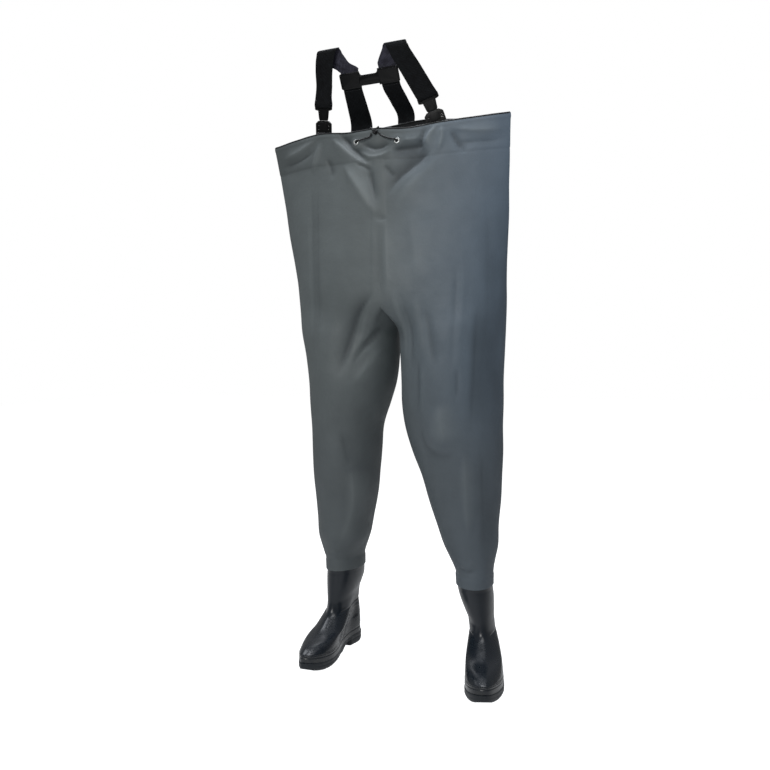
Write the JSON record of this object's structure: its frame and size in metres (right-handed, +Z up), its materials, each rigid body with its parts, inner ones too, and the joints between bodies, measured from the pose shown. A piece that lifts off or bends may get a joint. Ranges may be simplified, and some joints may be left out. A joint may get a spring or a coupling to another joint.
{
  "type": "chest waders",
  "caption": "Chest waders: a coated bib with legs welded to moulded boots, a drawcord collar and webbing braces with side-release buckles and a moulded back yoke.",
  "frame": {"origin": "on the floor, under the middle of the standing waders' bounding box", "axes": "+Z up, the wearer faces -Y and the wearer's left side is +X"},
  "size_m": [0.6688, 0.3556, 1.5528],
  "materials": {
    "coated_cloth": "satin PVC coating",
    "moulded_pvc": "semi-gloss",
    "sole_pvc": "matte",
    "webbing": "woven, matte",
    "buckle_plastic": "satin",
    "yoke_plastic": "semi-gloss",
    "eyelet_metal": "nickel plated",
    "drawcord": "braided"
  },
  "bodies": {
    "root": {"bib_and_legs": "coated_cloth", "boot_upper_right": "moulded_pvc", "boot_upper_left": "moulded_pvc", "outsole_right": "sole_pvc", "outsole_left": "sole_pvc", "eyelet_right": "eyelet_metal", "eyelet_left": "eyelet_metal", "drawcord_right": "drawcord", "drawcord_left": "drawcord", "drawcord_knot": "drawcord", "strap_tab_right": "webbing", "strap_tab_left": "webbing", "buckle_socket_right": "buckle_plastic", "buckle_socket_left": "buckle_plastic", "buckle_plug_right": "buckle_plastic", "buckle_plug_left": "buckle_plastic", "shoulder_strap_right": "webbing", "shoulder_strap_left": "webbing", "back_strap_right": "webbing", "back_strap_left": "webbing", "yoke": "yoke_plastic"}
  },
  "joints": []
}
